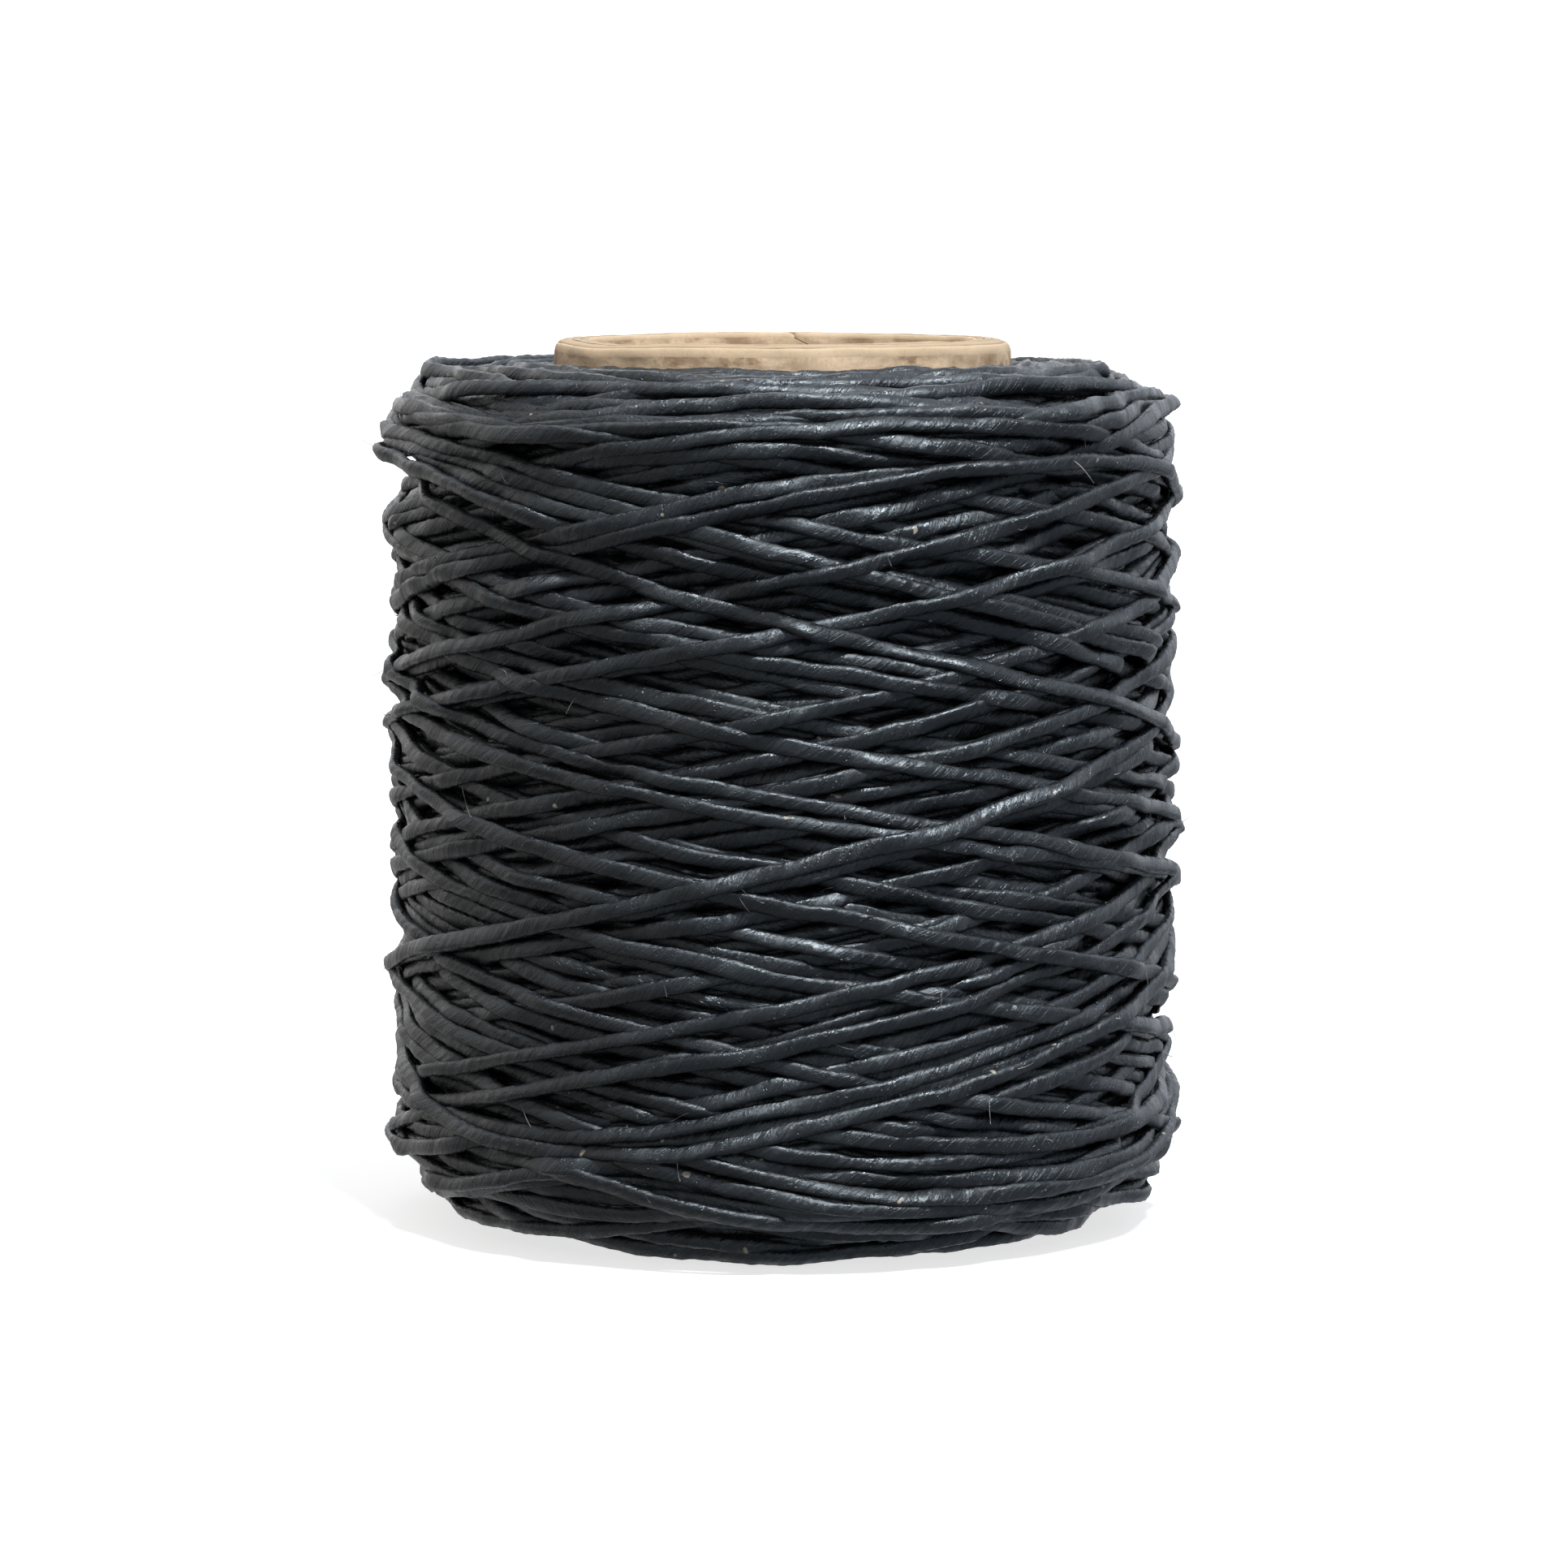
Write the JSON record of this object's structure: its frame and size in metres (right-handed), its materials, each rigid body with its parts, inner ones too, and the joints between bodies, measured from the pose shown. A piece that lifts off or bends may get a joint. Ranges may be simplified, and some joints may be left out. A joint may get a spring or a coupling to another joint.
{
  "type": "waxed thread spool",
  "caption": "Spool of flat waxed thread, cross-wound in a barrel-shouldered package on a straight spiral-wound cardboard core; stands on its end.",
  "frame": {"origin": "centre of the flat end of the core that the spool stands on", "axes": "+Z along the core's axis, up through the bore; X and Y free, the object is round"},
  "size_m": [0.0656, 0.0656, 0.0735],
  "materials": {
    "core_kraft": "matt kraft paper with a light sheen on the outer wrap",
    "core_board": "matt recycled board with a cut, slightly fuzzy edge",
    "waxed_thread": "waxed black multifilament, satin to glossy"
  },
  "bodies": {
    "root": {"core_liner": "core_kraft", "core_ply_1": "core_board", "core_ply_2": "core_board", "core_ply_3": "core_board", "core_ply_4": "core_board", "core_wrap": "core_kraft", "winding_1": "waxed_thread", "winding_2": "waxed_thread", "winding_3": "waxed_thread", "winding_4": "waxed_thread", "winding_5": "waxed_thread", "thread_start": "waxed_thread", "thread_end": "waxed_thread"}
  },
  "joints": []
}
